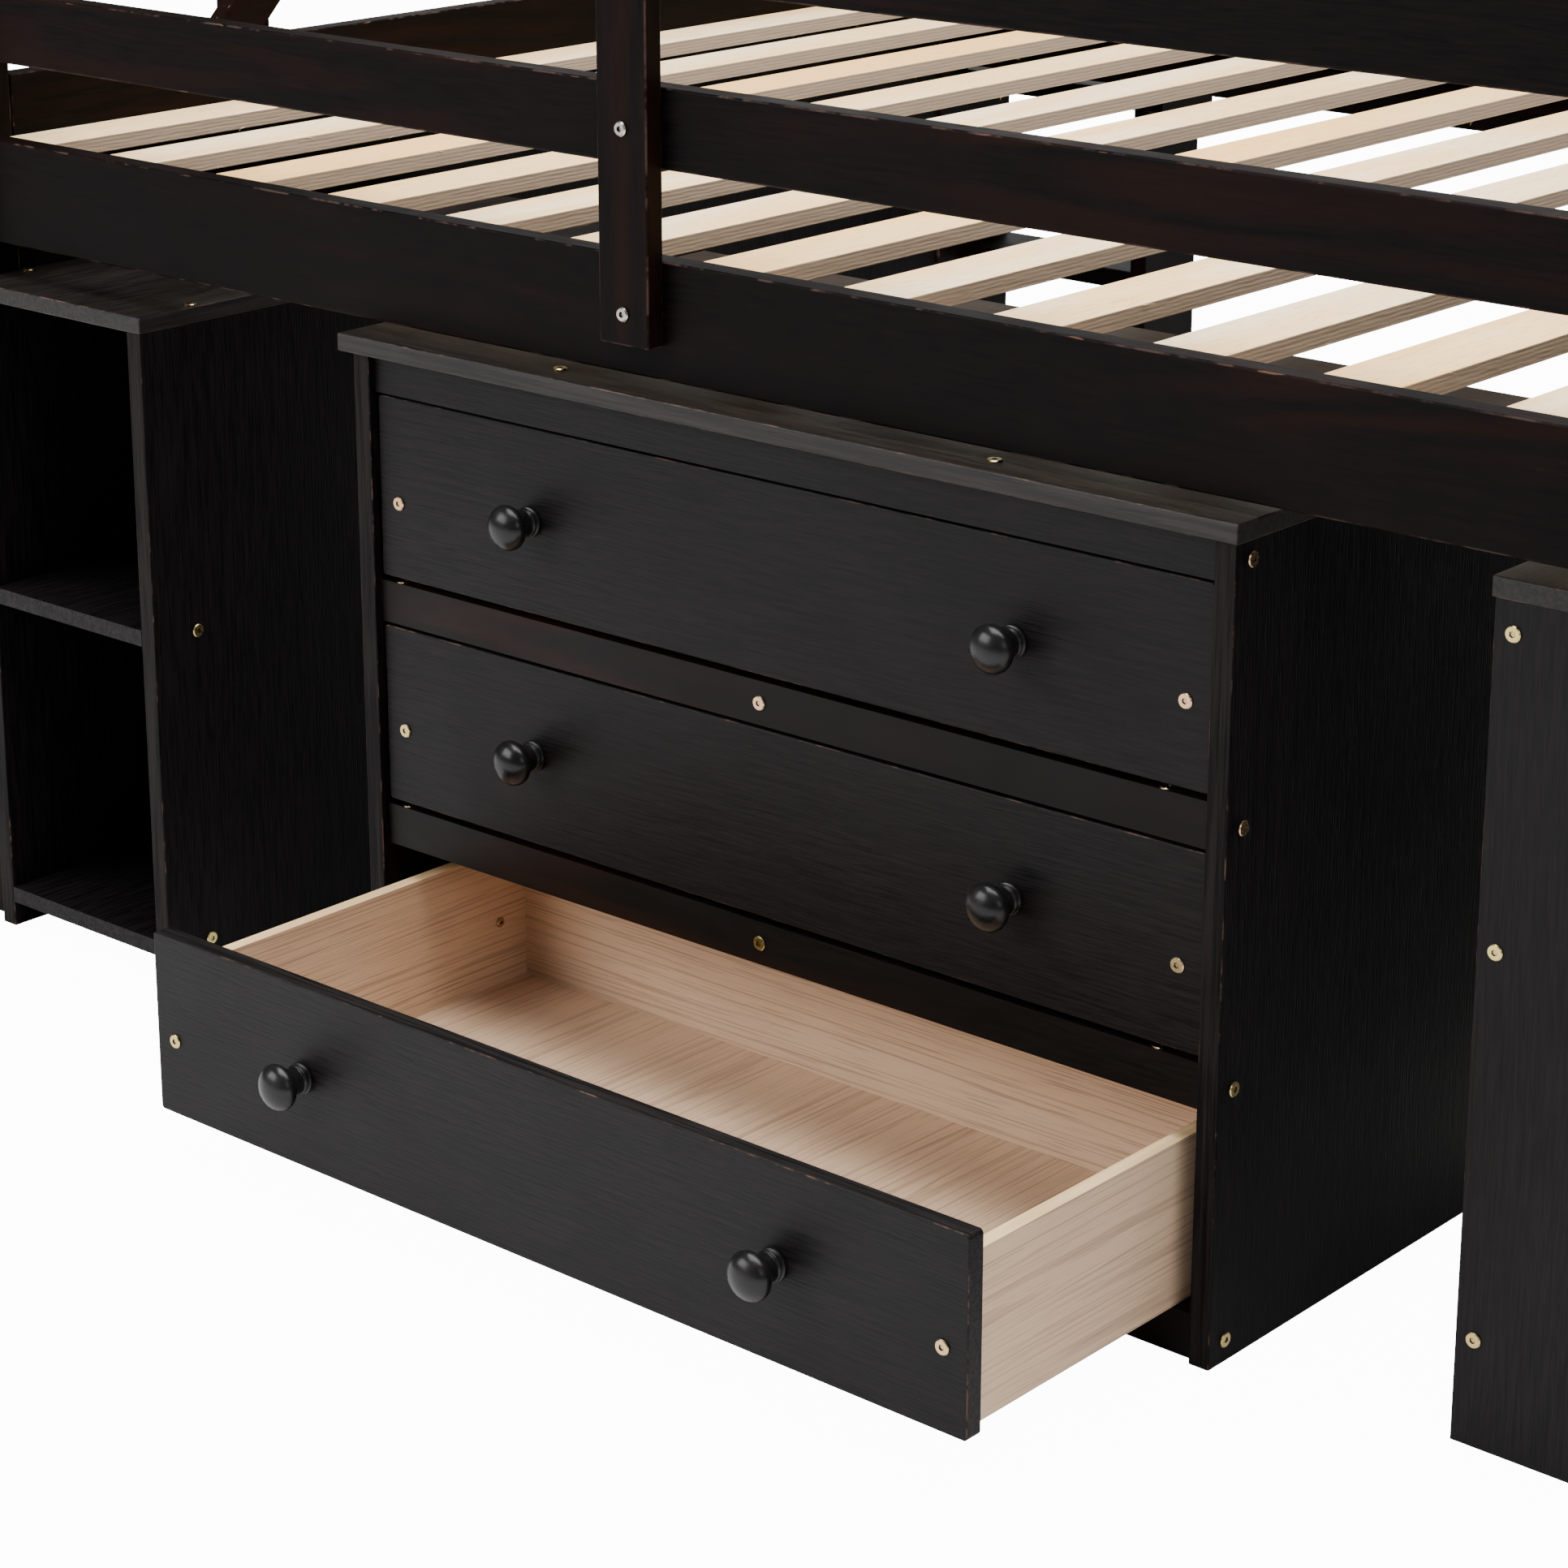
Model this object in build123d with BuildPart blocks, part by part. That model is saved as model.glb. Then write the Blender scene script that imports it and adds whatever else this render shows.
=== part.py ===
from build123d import *

import os

# Low loft bed with storage units parked under its slatted deck: an open bookcase, a chest of three
# drawers and a long narrow desk.  Millimetres.  +Z is up and the floor is Z = 0.  X runs along the
# bed from its middle, +X to the desk.  +Y runs from the front side to the ladder side, and Y = 0 is
# the middle of the whole outline, from the knobs of the open bottom drawer to the back of the ladder.

# ---------------------------------------------------------------- driving dimensions: bed frame
deck_length = 1910
deck_depth = 1374
post_size = 55
post_height = 1066
rail_thickness = 22
rail_z = (654, 748)
rail_setback = 18
end_board_z = (654, 801)
end_panel_z = (60, 654)
end_panel_thickness = 15
lower_guard_z = (819, 882)
upper_guard_z = (957, 1020)
guard_post_width = 52
guard_post_thickness = 18
guard_post_z = (681, 1035)
guard_post_x = -140
brace_width = 45
brace_thickness = 18
brace_start = 270
end_post_start = 317
slat_width = 62
slat_thickness = 15
slat_top = 745
slat_count = 14
slat_end_gap = 2
slat_side_gap = 0.5
cleat_width = 20
cleat_height = 25
cleat_screw_count = 5
rail_bolt_z = (680, 722)
guard_bolt_z = (850.5, 1000)
end_bolt_z = (700, 775, 975)
post_bolt_z = (706, 850, 988)
end_post_bolt_z = (706, 775, 988)
back_guard_posts_x = (-614, 10)

# ---------------------------------------------------------------- driving dimensions: ladder
ladder_x = (-1010, -675)
ladder_depth = 98
ladder_top = 641
ladder_board = 22
ladder_overhang = 18
ladder_steps = (205, 420)
ladder_batten_height = 60
ladder_batten_bolt_x = (-900, -760)
ladder_screw_inset = 25

# ---------------------------------------------------------------- driving dimensions: chest
chest_x = (-453.5, 431.5)
chest_front = -13.5
chest_depth = 435
chest_top = 645
board_thickness = 15
side_thickness = 18
top_overhang_front = 10.5
top_overhang_side = 7.5
top_overhang_back = 5.5
chest_rail_height = 36
chest_rail_depth = 45
chest_rail_recess = 7
apron_height = 34
chest_back_thickness = 7
chest_back_inset = 2
chest_screw_inset = 20
top_screw_front = (231, 27)
top_screw_back = (16, 60)
corner_pin_inset = (21, 43)
corner_pin_setback = 7
drawer_pitch = 199
drawer_front_height = 155
drawer_front_thickness = 15
drawer_gap_side = 3
drawer_gap_below = 5
drawer_open = 264
box_inset = 16
box_height = 132
box_length = 408
box_board = 12
box_lift = 1.5
box_bottom_thickness = 5
box_bottom_lift = 3.5
groove_depth = 5
groove_clearance = 0.1
runner_width = 28
runner_height = 20
knob_from_end = 175
knob_length = 38
knob_radius = 19
knob_base_radius = 13
knob_bead_radius = 12.4
knob_groove_radius = 11
knob_neck_radius = 9.8
knob_tip_radius = 2.5
front_screw_drop = 0.58
front_corner_round = 3.5
stop_pin_inset = 32

# ---------------------------------------------------------------- driving dimensions: bookcase
bookcase_x = (-952, -708)
bookcase_front = -30
bookcase_depth = 612
bookcase_height = 622
shelf_top = 335
floor_shelf_z = (24, 39)
bookcase_screw_inset = 50
bookcase_top_screw_inset = 65

# ---------------------------------------------------------------- driving dimensions: desk
desk_x = (617, 948)
desk_front = 17
desk_depth = 1100
desk_height = 635
desk_top_overhang = 2
desk_back_inset = 7.5
desk_back_foot = 55
desk_apron_height = 60
desk_screw_z = (82, 372, 597)

# ---------------------------------------------------------------- edges and fasteners
rail_arris = 2
post_arris = 4
slat_arris = 1
board_arris = 1.2
bore_clearance = 0.15
socket_width = 0.42
socket_depth = 0.6

# Each kind of fastener: head radius, head height, shank radius, shank length
frame_bolt = (7, 2.5, 3, 90)
guard_bolt = (6, 2.5, 3, 34)
batten_bolt = (6, 2.5, 3, 32)
cleat_screw = (5, 1.6, 2, 36)
ladder_screw = (6, 1.6, 2.5, 50)
side_screw = (6, 1.6, 2.5, 48)
top_screw = (6, 1.6, 2.5, 42)
face_screw = (6, 1.6, 2.5, 30)
corner_pin = (6.5, 1.2, 1.5, 14)
box_screw = (6, 1.6, 2.5, 45)
knob_pin = (4, 1.6, 1.5, 33)
stop_pin = (4.5, 1.8, 1.5, 10)

# ---------------------------------------------------------------- derived places
half_deck = deck_length / 2
half_bed = half_deck + post_size
front_reach = chest_front + chest_rail_recess - drawer_open - knob_length
frame_depth = deck_depth + 2 * rail_thickness
back_reach = frame_depth + rail_setback + ladder_depth
rail_face = -(front_reach + back_reach) / 2


def behind(distance):
    """Y of a plane at this distance behind the front face of the front side rail."""
    return rail_face + distance


def span(start, length):
    """A range that starts at a place and runs on by a length."""
    return (start, start + length)


def around(centre, width):
    """A range of this width about its centre."""
    return (centre - width / 2, centre + width / 2)


def middle(bounds):
    """The centre of a range."""
    return (bounds[0] + bounds[1]) / 2


def board(x, y, z, mode=Mode.ADD):
    """One square-cut board in the part being built, given by its ranges along X, Y and Z."""
    with Locations((middle(x), middle(y), middle(z))):
        Box(x[1] - x[0], y[1] - y[0], z[1] - z[0], mode=mode)


def drill(places, kind):
    """Clearance bores for one kind of fastener, sunk from the plane that each of its heads sits on."""
    with Locations(*places):
        Cylinder(kind[2] + bore_clearance, kind[3] + bore_clearance,
                 align=(Align.CENTER, Align.CENTER, Align.MAX), mode=Mode.SUBTRACT)


def driven(x, y, z, toward):
    """The place of one fastener: a plane at its head's seat whose normal points to the driver."""
    return Plane(origin=(x, y, z), z_dir=toward)


LEFT, RIGHT, FRONT, BACK, UP = (-1, 0, 0), (1, 0, 0), (0, -1, 0), (0, 1, 0), (0, 0, 1)


def fastener(kind):
    """A low round head with a bevelled rim and a hexagon socket, on a plain shank along -Z."""
    head_radius, head_height, shank_radius, shank_length = kind
    with BuildPart() as screw:
        with BuildSketch(Plane.XY):
            Circle(head_radius)
        extrude(amount=head_height)
        chamfer(screw.edges().sort_by(Axis.Z)[-1], head_height * 0.45)
        with BuildSketch(Plane.XY):
            Circle(shank_radius)
        extrude(amount=-shank_length)
        with BuildSketch(Plane.XY.offset(head_height)):
            RegularPolygon(head_radius * socket_width, 6)
        extrude(amount=-head_height * socket_depth, mode=Mode.SUBTRACT)
    return screw.part


def place_fasteners(places, kind):
    """One fastener of this kind at each place, in the part being built."""
    piece = fastener(kind)
    with Locations(*places):
        add(piece)


def save(piece, name):
    """Label a finished piece and write it to its own STEP file."""
    piece.part.label = name
    export_step(piece.part, f"parts/{name}.step")


os.makedirs("parts", exist_ok=True)

# ================================================================ bed frame
front_rail_y = (behind(0), behind(rail_thickness))
back_rail_y = span(behind(rail_thickness + deck_depth), rail_thickness)
front_post_y = span(behind(-rail_setback), post_size)
back_post_y = span(behind(frame_depth + rail_setback - post_size), post_size)
deck_x = (-half_deck, half_deck)
left_post_x = (-half_bed, -half_deck)
right_post_x = (half_deck, half_bed)
left_board_x = span(-half_deck - rail_thickness, rail_thickness)
right_board_x = span(half_deck, rail_thickness)
between_posts_y = (front_post_y[1], back_post_y[0])

# Bolts that run along X through the posts into the ends of the rails and guards
rail_bolts = []
for rail_y in (front_rail_y, back_rail_y):
    for z in rail_bolt_z + guard_bolt_z:
        rail_bolts.append(driven(half_bed, middle(rail_y), z, RIGHT))
        if rail_y == front_rail_y or z in rail_bolt_z:
            rail_bolts.append(driven(-half_bed, middle(rail_y), z, LEFT))

# Bolts that run along Y through the posts into the ends of the end boards and end guards
end_bolts = []
for end_x in (left_board_x, right_board_x):
    for z in end_bolt_z:
        end_bolts.append(driven(middle(end_x), front_post_y[0], z, FRONT))
        end_bolts.append(driven(middle(end_x), back_post_y[1], z, BACK))

# Bolts that hold the guard posts to the rail and the guards
guard_post_bolts = [driven(guard_post_x, behind(-guard_post_thickness), z, FRONT) for z in post_bolt_z]
back_guard_post_y = span(back_rail_y[1], guard_post_thickness)
back_guard_post_bolts = []
for x in back_guard_posts_x:
    back_guard_post_bolts += [driven(x, back_guard_post_y[1], z, BACK) for z in post_bolt_z]
left_end_post_x = span(left_board_x[0] - guard_post_thickness, guard_post_thickness)
right_end_post_x = span(right_board_x[1], guard_post_thickness)
end_post_y = (
    span(behind(end_post_start), guard_post_width),
    span(behind(frame_depth - end_post_start - guard_post_width), guard_post_width),
)
end_post_bolts = []
for post_y in end_post_y:
    for z in end_post_bolt_z:
        end_post_bolts.append(driven(left_end_post_x[0], middle(post_y), z, LEFT))
        end_post_bolts.append(driven(right_end_post_x[1], middle(post_y), z, RIGHT))

# Screws that hold the slat cleats to the insides of the side rails
slat_z = (slat_top - slat_thickness, slat_top)
cleat_z = (slat_z[0] - cleat_height, slat_z[0])
cleat_screw_x = [-half_deck + (n + 0.5) * deck_length / cleat_screw_count for n in range(cleat_screw_count)]
cleat_screws = [driven(x, front_rail_y[1] + cleat_width, middle(cleat_z), BACK) for x in cleat_screw_x]
cleat_screws += [driven(x, back_rail_y[0] - cleat_width, middle(cleat_z), FRONT) for x in cleat_screw_x]


def corner_post(x, y):
    """One square corner post with eased arrises, bored for the bolts that pass through it."""
    with BuildPart() as post:
        board(x, y, (0, post_height))
        fillet(post.edges(), post_arris)
        drill(rail_bolts + end_bolts, frame_bolt)
    return post


def bed_rail(x, y, z, *fixings):
    """One long board of the frame with eased arrises, bored for its (places, kind) fixings."""
    with BuildPart() as rail:
        board(x, y, z)
        fillet(rail.edges(), rail_arris)
        for places, kind in fixings:
            drill(places, kind)
    return rail


save(corner_post(left_post_x, front_post_y), "post_front_left")
save(corner_post(right_post_x, front_post_y), "post_front_right")
save(corner_post(left_post_x, back_post_y), "post_back_left")
save(corner_post(right_post_x, back_post_y), "post_back_right")
front_fixings = ((rail_bolts, frame_bolt), (guard_post_bolts, guard_bolt))
save(bed_rail(deck_x, front_rail_y, rail_z, *front_fixings, (cleat_screws, cleat_screw)), "side_rail_front")
save(bed_rail(deck_x, front_rail_y, lower_guard_z, *front_fixings), "guard_rail_front_lower")
save(bed_rail(deck_x, front_rail_y, upper_guard_z, *front_fixings), "guard_rail_front_upper")

# The side rail at the back also takes the two screws of the ladder's batten
ladder_y = span(back_post_y[1], ladder_depth)
ladder_stile_x = (
    span(ladder_x[0] + ladder_overhang, ladder_board),
    span(ladder_x[1] - ladder_overhang - ladder_board, ladder_board),
)
batten_x = (-half_deck, ladder_stile_x[1][1])
batten_y = (back_rail_y[1], back_post_y[1])
batten_z = around(middle(rail_z), ladder_batten_height)
batten_bolts = [driven(x, batten_y[1], middle(batten_z), BACK) for x in ladder_batten_bolt_x]
back_fixings = ((rail_bolts, frame_bolt), (back_guard_post_bolts, guard_bolt), (batten_bolts, batten_bolt))
save(bed_rail(deck_x, back_rail_y, rail_z, *back_fixings, (cleat_screws, cleat_screw)), "side_rail_back")

# Guards at the back leave a way in over the ladder
back_guard_x = (back_guard_posts_x[0] - guard_post_width / 2, half_deck)
with BuildPart() as guard_rails_back:
    for guard_z in (lower_guard_z, upper_guard_z):
        board(back_guard_x, back_rail_y, guard_z)
    fillet(guard_rails_back.edges(), rail_arris)
    drill(rail_bolts, frame_bolt)
    drill(back_guard_post_bolts, guard_bolt)
save(guard_rails_back, "guard_rails_back")

with BuildPart() as guard_post_front:
    board(around(guard_post_x, guard_post_width), span(behind(-guard_post_thickness), guard_post_thickness),
          guard_post_z)
    fillet(guard_post_front.edges(), rail_arris)
    drill(guard_post_bolts, guard_bolt)
save(guard_post_front, "guard_post_front")

with BuildPart() as guard_posts_back:
    for x in back_guard_posts_x:
        board(around(x, guard_post_width), back_guard_post_y, guard_post_z)
    fillet(guard_posts_back.edges(), rail_arris)
    drill(back_guard_post_bolts, guard_bolt)
save(guard_posts_back, "guard_posts_back")

with BuildPart() as end_boards:
    for end_x in (left_board_x, right_board_x):
        board(end_x, between_posts_y, end_board_z)
    fillet(end_boards.edges(), rail_arris)
    drill(end_bolts, frame_bolt)
    drill(end_post_bolts, guard_bolt)
save(end_boards, "end_boards")

# A thin panel closes the left end below its board
with BuildPart() as end_panel_left:
    board(around(middle(left_board_x), end_panel_thickness), between_posts_y, end_panel_z)
save(end_panel_left, "end_panel_left")

with BuildPart() as end_guards:
    for end_x in (left_board_x, right_board_x):
        board(end_x, between_posts_y, upper_guard_z)
    fillet(end_guards.edges(), rail_arris)
    drill(end_bolts, frame_bolt)
    drill(end_post_bolts, guard_bolt)
save(end_guards, "end_guards")

with BuildPart() as end_guard_posts:
    for end_x in (left_end_post_x, right_end_post_x):
        for post_y in end_post_y:
            board(end_x, post_y, guard_post_z)
    fillet(end_guard_posts.edges(), rail_arris)
    drill(end_post_bolts, guard_bolt)
save(end_guard_posts, "end_guard_posts")

# Slanted braces stand on each end board and lean in at 45 degrees to the end guard above
brace_rise = upper_guard_z[0] - end_board_z[1]
brace_foot = brace_width * 2 ** 0.5
with BuildPart() as end_braces:
    for end_x in (left_board_x, right_board_x):
        with BuildSketch(Plane.YZ.offset(middle(end_x))):
            for start, lean in ((brace_start, 1), (frame_depth - brace_start, -1)):
                foot = behind(start)
                with BuildLine():
                    Polyline(
                        (foot, end_board_z[1]),
                        (foot + lean * brace_foot, end_board_z[1]),
                        (foot + lean * (brace_foot + brace_rise), upper_guard_z[0]),
                        (foot + lean * brace_rise, upper_guard_z[0]),
                        close=True,
                    )
                make_face()
        extrude(amount=brace_thickness / 2, both=True)
save(end_braces, "end_braces")

# Slats rest on a cleat along the inside of each side rail
slat_y = (front_rail_y[1] + slat_end_gap, back_rail_y[0] - slat_end_gap)
slat_pitch = (deck_length - slat_width - 2 * slat_side_gap) / (slat_count - 1)
with BuildPart() as slats:
    for n in range(slat_count):
        board(span(-half_deck + slat_side_gap + n * slat_pitch, slat_width), slat_y, slat_z)
    fillet(slats.edges().filter_by(Axis.Y), slat_arris)
save(slats, "slats")

with BuildPart() as slat_cleats:
    board(deck_x, span(front_rail_y[1], cleat_width), cleat_z)
    board(deck_x, span(back_rail_y[0] - cleat_width, cleat_width), cleat_z)
    drill(cleat_screws, cleat_screw)
save(slat_cleats, "slat_cleats")

# Screws through the ladder stiles into its two lower treads
ladder_top_z = (ladder_top - ladder_board, ladder_top)
ladder_screws = []
for step_z in ladder_steps:
    for depth in (ladder_screw_inset, ladder_depth - ladder_screw_inset):
        ladder_screws.append(driven(ladder_stile_x[0][0], ladder_y[0] + depth, step_z, LEFT))
        ladder_screws.append(driven(ladder_stile_x[1][1], ladder_y[0] + depth, step_z, RIGHT))

with BuildPart() as bed_bolts:
    place_fasteners(rail_bolts + end_bolts, frame_bolt)
    place_fasteners(guard_post_bolts + back_guard_post_bolts + end_post_bolts, guard_bolt)
    place_fasteners(batten_bolts, batten_bolt)
    place_fasteners(cleat_screws, cleat_screw)
    place_fasteners(ladder_screws, ladder_screw)
save(bed_bolts, "bed_bolts")

# ---------------------------------------------------------------- ladder
with BuildPart() as ladder_stiles:
    for stile_x in ladder_stile_x:
        board(stile_x, ladder_y, (0, ladder_top_z[0]))
    fillet(ladder_stiles.edges().filter_by(Axis.Z), rail_arris)
    drill(ladder_screws, ladder_screw)
save(ladder_stiles, "ladder_stiles")

with BuildPart() as ladder_treads:
    board(ladder_x, ladder_y, ladder_top_z)
    for step_z in ladder_steps:
        board((ladder_stile_x[0][1], ladder_stile_x[1][0]), ladder_y, around(step_z, ladder_board))
    fillet(ladder_treads.edges().filter_by(Axis.X), rail_arris)
    drill(ladder_screws, ladder_screw)
save(ladder_treads, "ladder_treads")

with BuildPart() as ladder_batten:
    board(batten_x, batten_y, batten_z)
    drill(batten_bolts, batten_bolt)
save(ladder_batten, "ladder_batten")

# ================================================================ chest of drawers
chest_y = span(behind(chest_front), chest_depth)
chest_left_x = span(chest_x[0], side_thickness)
chest_right_x = span(chest_x[1] - side_thickness, side_thickness)
chest_inner_x = (chest_left_x[1], chest_right_x[0])
chest_side_z = (0, chest_top - board_thickness)
front_face_y = chest_y[0] + chest_rail_recess
chest_rail_y = span(front_face_y, chest_rail_depth)
chest_rails_z = [span(n * drawer_pitch, chest_rail_height) for n in range(3)]
apron_z = (chest_side_z[1] - apron_height, chest_side_z[1])
chest_back_y = span(chest_y[1] - chest_back_thickness - chest_back_inset, chest_back_thickness)

# Confirmat screws through the sides into each rail, and through the top into the sides and apron
chest_side_screws = []
for z in [middle(rail) for rail in chest_rails_z] + [middle(apron_z)]:
    chest_side_screws.append(driven(chest_x[0], chest_y[0] + chest_screw_inset, z, LEFT))
    chest_side_screws.append(driven(chest_x[1], chest_y[0] + chest_screw_inset, z, RIGHT))
chest_top_x = (chest_x[0] - top_overhang_side, chest_x[1] + top_overhang_side)
chest_top_y = (chest_y[0] - top_overhang_front, chest_y[1] + top_overhang_back)
chest_top_screws = []
for x in (chest_top_x[0] + top_screw_front[0], chest_top_x[1] - top_screw_front[0]):
    chest_top_screws.append(driven(x, chest_top_y[0] + top_screw_front[1], chest_top, UP))
for x in (chest_top_x[0] + top_screw_back[0], chest_top_x[1] - top_screw_back[0]):
    chest_top_screws.append(driven(x, chest_top_y[1] - top_screw_back[1], chest_top, UP))
rail_face_screws = [driven(middle(chest_x), front_face_y, middle(z), FRONT) for z in chest_rails_z[1:]]
runner_x = (span(chest_inner_x[0], runner_width), span(chest_inner_x[1] - runner_width, runner_width))
corner_pins = []
for z in chest_rails_z:
    for x in (chest_inner_x[0] + corner_pin_inset[0], chest_inner_x[1] - corner_pin_inset[1]):
        corner_pins.append(driven(x, front_face_y + corner_pin_setback, z[1], UP))

with BuildPart() as chest_top_board:
    board(chest_top_x, chest_top_y, (chest_side_z[1], chest_top))
    fillet(chest_top_board.edges(), board_arris)
    drill(chest_top_screws, top_screw)
save(chest_top_board, "chest_top")

for side_name, side_x in (("chest_side_left", chest_left_x), ("chest_side_right", chest_right_x)):
    with BuildPart() as chest_side:
        board(side_x, chest_y, chest_side_z)
        fillet(chest_side.edges().filter_by(Axis.Z), board_arris)
        drill(chest_side_screws, side_screw)
        drill(chest_top_screws, top_screw)
    save(chest_side, side_name)

with BuildPart() as chest_back:
    board(chest_inner_x, chest_back_y, (chest_rail_height, chest_side_z[1]))
save(chest_back, "chest_back")

with BuildPart() as chest_apron:
    board(chest_inner_x, chest_rail_y, apron_z)
    drill(chest_side_screws, side_screw)
    drill(chest_top_screws, top_screw)
save(chest_apron, "chest_apron")

rail_names = ("chest_rail_bottom", "chest_rail_lower", "chest_rail_upper")
for rail_name, z in zip(rail_names, chest_rails_z):
    with BuildPart() as chest_rail:
        board(chest_inner_x, chest_rail_y, z)
        drill(chest_side_screws, side_screw)
        drill(rail_face_screws, face_screw)
        drill(corner_pins, corner_pin)
    save(chest_rail, rail_name)

# Each drawer slides on a pair of battens behind its rail, flush with the rail's top
with BuildPart() as drawer_runners:
    for z in chest_rails_z:
        for x in runner_x:
            board(x, (chest_rail_y[1], chest_back_y[0]), (z[1] - runner_height, z[1]))
save(drawer_runners, "drawer_runners")

with BuildPart() as chest_screws:
    place_fasteners(chest_side_screws, side_screw)
    place_fasteners(chest_top_screws, top_screw)
    place_fasteners(rail_face_screws, face_screw)
    place_fasteners(corner_pins, corner_pin)
save(chest_screws, "chest_screws")


def turned_knob():
    """A round wooden knob turned about +Z: base collar, beaded neck and a domed head."""
    with BuildPart() as knob:
        with BuildSketch(Plane.XZ):
            with BuildLine():
                Polyline((knob_tip_radius, knob_length), (0, knob_length), (0, 0), (knob_base_radius, 0),
                         (knob_base_radius, 3))
                Line((knob_base_radius, 3), (knob_groove_radius, 4))
                ThreePointArc((knob_groove_radius, 4), (knob_bead_radius, 5.8), (knob_groove_radius, 7.6))
                ThreePointArc((knob_groove_radius, 7.6), (knob_neck_radius, 12.5), (knob_groove_radius, 18))
                ThreePointArc((knob_groove_radius, 18), (17.2, 20.6), (knob_radius, 25.5))
                ThreePointArc((knob_radius, 25.5), (12.6, 33.9), (knob_tip_radius, knob_length))
            make_face()
        revolve(axis=Axis.Z)
        Cylinder(knob_pin[2] + bore_clearance, knob_pin[3] - drawer_front_thickness + bore_clearance,
                 align=(Align.CENTER, Align.CENTER, Align.MIN), mode=Mode.SUBTRACT)
    return knob.part


wooden_knob = turned_knob()


def drawer(number, opening, rail):
    """Front, box, knobs and screws of one drawer, drawn out toward -Y by its opening."""
    front_x = (chest_inner_x[0] + drawer_gap_side, chest_inner_x[1] - drawer_gap_side)
    front_y = span(front_face_y - opening, drawer_front_thickness)
    front_z = span(rail[1] + drawer_gap_below, drawer_front_height)
    box_x = (front_x[0] + box_inset, front_x[1] - box_inset)
    box_y = (front_y[1], front_y[0] + box_length)
    box_z = span(rail[1] + box_lift, box_height)
    left_x = span(box_x[0], box_board)
    right_x = span(box_x[1] - box_board, box_board)
    back_y = span(box_y[1] - box_board, box_board)
    floor_x = (left_x[1] - groove_depth, right_x[0] + groove_depth)
    floor_y = (box_y[0], back_y[0] + groove_depth)
    floor_z = span(box_z[0] + box_bottom_lift, box_bottom_thickness)
    slack = groove_clearance
    groove_x = (floor_x[0] - slack, floor_x[1] + slack)
    groove_y = (floor_y[0], floor_y[1] + slack)
    groove_z = (floor_z[0] - slack, floor_z[1] + slack)
    knob_x = (front_x[0] + knob_from_end, front_x[1] - knob_from_end)
    screw_z = front_z[1] - front_screw_drop * drawer_front_height
    front_screws = [driven(middle(side), front_y[0], screw_z, FRONT) for side in (left_x, right_x)]
    knob_pins = [driven(x, front_y[1], middle(front_z), BACK) for x in knob_x]
    stop_pins = [
        driven(left_x[1], back_y[0] - stop_pin_inset, middle(box_z), RIGHT),
        driven(right_x[0], back_y[0] - stop_pin_inset, middle(box_z), LEFT),
    ]

    with BuildPart() as front:
        board(front_x, front_y, front_z)
        fillet(front.edges().filter_by(Axis.Y), front_corner_round)
        fillet(front.faces().sort_by(Axis.Y)[0].edges(), board_arris)
        drill(front_screws, box_screw)
        drill(knob_pins, knob_pin)
    save(front, f"drawer_{number}_front")

    with BuildPart() as sides:
        for side_x in (left_x, right_x):
            board(side_x, box_y, box_z)
        board(groove_x, groove_y, groove_z, mode=Mode.SUBTRACT)
        drill(front_screws, box_screw)
        drill(stop_pins, stop_pin)
    save(sides, f"drawer_{number}_sides")

    with BuildPart() as back:
        board((left_x[1], right_x[0]), back_y, box_z)
        board(groove_x, groove_y, groove_z, mode=Mode.SUBTRACT)
    save(back, f"drawer_{number}_back")

    with BuildPart() as bottom:
        board(floor_x, floor_y, floor_z)
    save(bottom, f"drawer_{number}_bottom")

    with BuildPart() as knobs:
        with Locations(*[driven(x, front_y[0], middle(front_z), FRONT) for x in knob_x]):
            add(wooden_knob)
    save(knobs, f"drawer_{number}_knobs")

    with BuildPart() as screws:
        place_fasteners(front_screws, box_screw)
        place_fasteners(knob_pins, knob_pin)
        place_fasteners(stop_pins, stop_pin)
    save(screws, f"drawer_{number}_screws")


drawer(1, 0, chest_rails_z[2])
drawer(2, 0, chest_rails_z[1])
drawer(3, drawer_open, chest_rails_z[0])

# ================================================================ bookcase
book_y = span(behind(bookcase_front), bookcase_depth)
book_left_x = span(bookcase_x[0], side_thickness)
book_right_x = span(bookcase_x[1] - side_thickness, side_thickness)
book_inner_x = (book_left_x[1], book_right_x[0])
book_side_z = (0, bookcase_height - board_thickness)
middle_shelf_z = (shelf_top - board_thickness, shelf_top)
divider_y = around(middle(book_y), board_thickness)
book_side_screws = []
for z in (middle(middle_shelf_z), middle(floor_shelf_z)):
    for y in (book_y[0] + bookcase_screw_inset, book_y[1] - bookcase_screw_inset):
        book_side_screws.append(driven(bookcase_x[0], y, z, LEFT))
        book_side_screws.append(driven(bookcase_x[1], y, z, RIGHT))
book_top_screws = []
for x in (middle(book_left_x), middle(book_right_x)):
    for y in (book_y[0] + bookcase_top_screw_inset, book_y[1] - bookcase_top_screw_inset):
        book_top_screws.append(driven(x, y, bookcase_height, UP))

with BuildPart() as bookcase_top:
    board(bookcase_x, book_y, (book_side_z[1], bookcase_height))
    fillet(bookcase_top.edges(), board_arris)
    drill(book_top_screws, top_screw)
save(bookcase_top, "bookcase_top")

with BuildPart() as bookcase_sides:
    for side_x in (book_left_x, book_right_x):
        board(side_x, book_y, book_side_z)
    fillet(bookcase_sides.edges().filter_by(Axis.Z), board_arris)
    drill(book_side_screws, side_screw)
    drill(book_top_screws, top_screw)
save(bookcase_sides, "bookcase_sides")

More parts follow.
